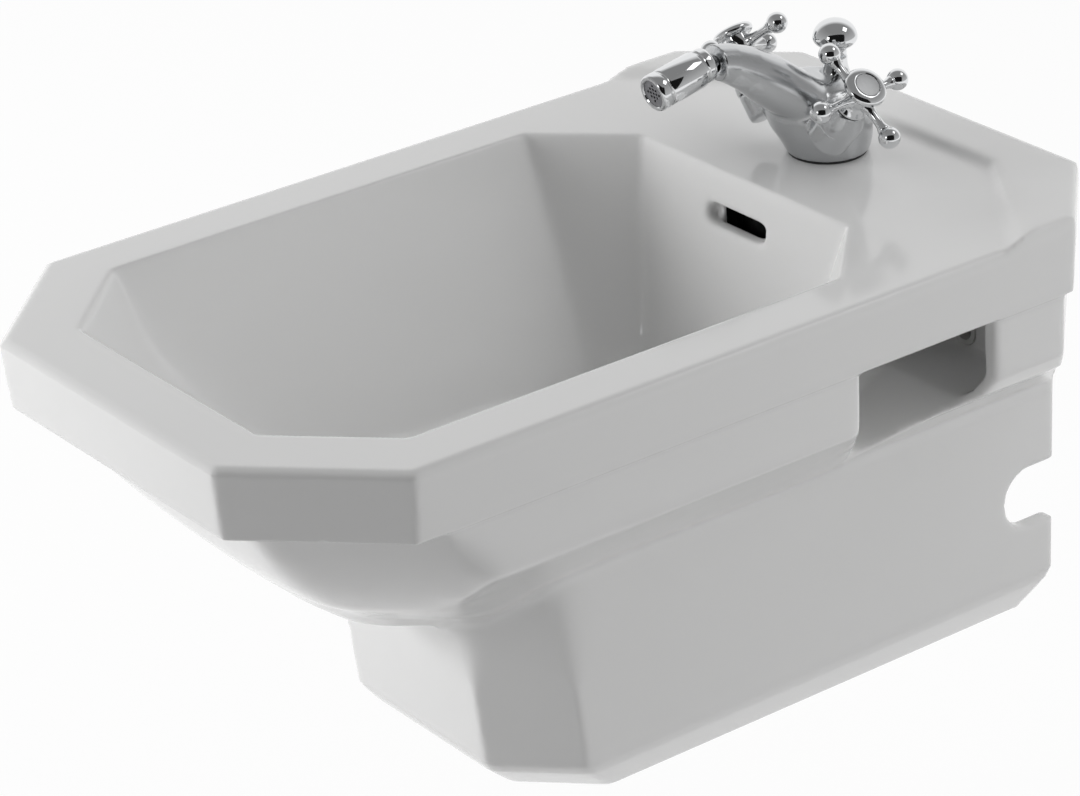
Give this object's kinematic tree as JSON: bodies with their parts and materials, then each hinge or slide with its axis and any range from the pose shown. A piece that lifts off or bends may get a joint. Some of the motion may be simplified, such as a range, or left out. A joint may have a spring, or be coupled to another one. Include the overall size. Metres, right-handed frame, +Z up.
{
  "type": "wall hung bidet",
  "caption": "Wall-hung bidet with an eight-sided rim, a deep sloping bowl, a tall lower box, a two-handle mixer with a ball-jointed aerator, and a pop-up waste.",
  "frame": {"origin": "middle of the china's back face, on the wall plane, at the height of the rim's top", "axes": "+X to the right seen from the front, +Y into the wall, +Z up; the bidet reaches towards -Y"},
  "size_m": [0.355, 0.58, 0.3909],
  "materials": {
    "china": "high gloss white glaze",
    "chrome": "polished chrome plate",
    "satin_disc": "satin plate, bare",
    "steel": "zinc plated",
    "brass": "machined",
    "rubber": "matt black",
    "white_plastic": "moulded"
  },
  "bodies": {
    "bidet": {"ceramic_body": "china", "fixing_sleeves": "white_plastic", "tap_body": "chrome", "tap_base_gasket": "rubber", "tap_rubber_washer": "rubber", "tap_metal_washer": "steel", "tap_back_nut": "brass", "spout_ball": "chrome", "hot_bonnet": "chrome", "hot_cartridge": "brass", "cold_bonnet": "chrome", "cold_cartridge": "brass", "rod_guide": "chrome", "pivot_seat": "white_plastic", "pivot_nut": "chrome", "waste_flange_seal": "rubber", "waste_flange": "chrome", "waste_gasket": "rubber", "waste_body": "chrome", "waste_back_nut": "chrome", "tail_washer": "rubber", "tail_pipe": "chrome", "tail_nut": "chrome"},
    "hot_handle_set": {"hot_spindle": "brass", "hot_handle": "chrome", "hot_screw": "steel", "hot_cap": "chrome", "hot_index": "satin_disc"},
    "cold_handle_set": {"cold_spindle": "brass", "cold_handle": "chrome", "cold_screw": "steel", "cold_cap": "chrome", "cold_index": "satin_disc"},
    "ball_lining": {"ball_seat": "white_plastic"},
    "aerator": {"aerator_housing": "chrome", "aerator_washer": "rubber", "aerator_insert": "white_plastic"},
    "lift_linkage": {"lift_rod": "chrome", "lift_knob": "chrome", "linkage_strap": "steel", "strap_screw": "steel", "linkage_clip": "white_plastic"},
    "pivot_lever": {"pivot_rod": "chrome"},
    "plug": {"waste_plug": "chrome", "plug_seal": "rubber"}
  },
  "joints": [
    {"name": "hot_turn", "type": "hinge", "parent": "bidet", "child": "hot_handle_set", "pos_m": [-0.053, -0.105, 0.0545], "axis": [-0.6428, 0, 0.766], "range_deg": [0, 90]},
    {"name": "cold_turn", "type": "hinge", "parent": "bidet", "child": "cold_handle_set", "pos_m": [0.053, -0.105, 0.0545], "axis": [0.6428, 0, 0.766], "range_deg": [0, 90]},
    {"name": "aerator_swing", "type": "hinge", "parent": "bidet", "child": "ball_lining", "pos_m": [0, -0.175, 0.0765], "axis": [0, 0, 1], "range_deg": [-12, 12]},
    {"name": "aerator_nod", "type": "hinge", "parent": "ball_lining", "child": "aerator", "pos_m": [0, -0.175, 0.0765], "axis": [1, 0, 0], "range_deg": [-12, 12]},
    {"name": "knob_lift", "type": "slide", "parent": "bidet", "child": "lift_linkage", "axis": [0, 0, 1], "range_m": [0, 0.018]},
    {"name": "pivot_tilt", "type": "hinge", "parent": "bidet", "child": "pivot_lever", "pos_m": [0, -0.231, -0.205], "axis": [1, 0, 0], "range_deg": [0, 14.6]},
    {"name": "plug_drop", "type": "slide", "parent": "bidet", "child": "plug", "axis": [0, 0, 1], "range_m": [-0.0059, 0]}
  ],
  "couplings": [
    {"joint": "pivot_tilt", "follows": "knob_lift", "rad_per_m": 13.925},
    {"joint": "plug_drop", "follows": "knob_lift", "ratio": -0.3222}
  ]
}
